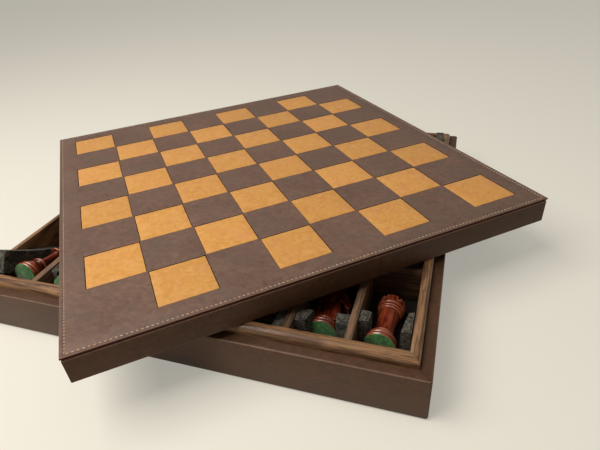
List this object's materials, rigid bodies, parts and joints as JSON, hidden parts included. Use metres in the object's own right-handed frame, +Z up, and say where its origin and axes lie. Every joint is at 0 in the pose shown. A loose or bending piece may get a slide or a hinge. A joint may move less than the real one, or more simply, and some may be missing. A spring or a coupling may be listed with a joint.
{
  "type": "chess set with board",
  "caption": "Leather-topped chess board turned on an open, compartmented storage tray, with wooden chessmen lying in foam.",
  "frame": {"origin": "centre of the tray's underside, on the surface that it stands on", "axes": "+X to the tray's right, +Y to its back, +Z up"},
  "size_m": [0.5586, 0.5586, 0.0701],
  "materials": {
    "green_felt": "woven wool felt, matt",
    "foam": "open-cell foam, matt",
    "black_lining": "short-pile black cloth, matt",
    "raw_board": "plain sawn board",
    "tray_leather": "drawn smooth over board, satin",
    "rim_leather": "drawn smooth over board, satin",
    "board_leather": "mottled, waxed, satin",
    "tan_leather": "mottled, waxed, satin",
    "lip_wood": "walnut, thin lacquer",
    "divider_wood": "thin lacquer",
    "red_wood": "turned, stained red and polished",
    "boxwood": "turned and polished"
  },
  "bodies": {
    "tray": {"foot_cloth": "black_lining", "bottom_board": "raw_board", "floor_lining": "black_lining", "wall_front": "raw_board", "wall_right": "raw_board", "wall_back": "raw_board", "wall_left": "raw_board", "wall_leather": "tray_leather", "lip_front": "lip_wood", "lip_right": "lip_wood", "lip_back": "lip_wood", "lip_left": "lip_wood", "divider_1": "divider_wood", "divider_2": "divider_wood", "divider_3": "divider_wood", "divider_4": "divider_wood", "divider_5": "divider_wood", "divider_6": "divider_wood", "divider_7": "divider_wood", "cross_wall_front": "divider_wood", "cross_wall_middle": "divider_wood", "cross_wall_back": "divider_wood", "foam_red_pieces": "foam", "foam_red_pawns": "foam", "foam_boxwood_pawns": "foam", "foam_boxwood_pieces": "foam", "red_knight_1": "red_wood", "red_rook_1": "red_wood", "red_king": "red_wood", "red_queen": "red_wood", "red_bishop_2": "red_wood", "red_knight_2": "red_wood", "boxwood_bishop_1": "boxwood", "boxwood_knight_1": "boxwood", "boxwood_rook_1": "boxwood", "boxwood_king": "boxwood", "boxwood_queen": "boxwood", "boxwood_bishop_2": "boxwood", "boxwood_knight_2": "boxwood", "boxwood_rook_2": "boxwood", "red_pawns": "red_wood", "boxwood_pawns": "boxwood", "red_felts": "green_felt", "boxwood_felts": "green_felt"},
    "board": {"board_panel": "raw_board", "board_leather": "board_leather", "light_squares": "tan_leather", "board_lining": "black_lining", "rim_front": "raw_board", "rim_right": "raw_board", "rim_back": "raw_board", "rim_left": "raw_board", "rim_leather": "rim_leather"},
    "rook": {"red_rook_2": "red_wood", "rook_felt": "green_felt"},
    "bishop": {"red_bishop_1": "red_wood", "bishop_felt": "green_felt"}
  },
  "joints": [
    {"name": "board_lift", "type": "slide", "parent": "tray", "child": "board", "axis": [0, 0, 1], "range_m": [0, 0.18]},
    {"name": "rook_lift", "type": "slide", "parent": "tray", "child": "rook", "axis": [0, -0.342, 0.9397], "range_m": [0, 0.1]},
    {"name": "bishop_lift", "type": "slide", "parent": "tray", "child": "bishop", "axis": [0, -0.342, 0.9397], "range_m": [0, 0.08]}
  ]
}
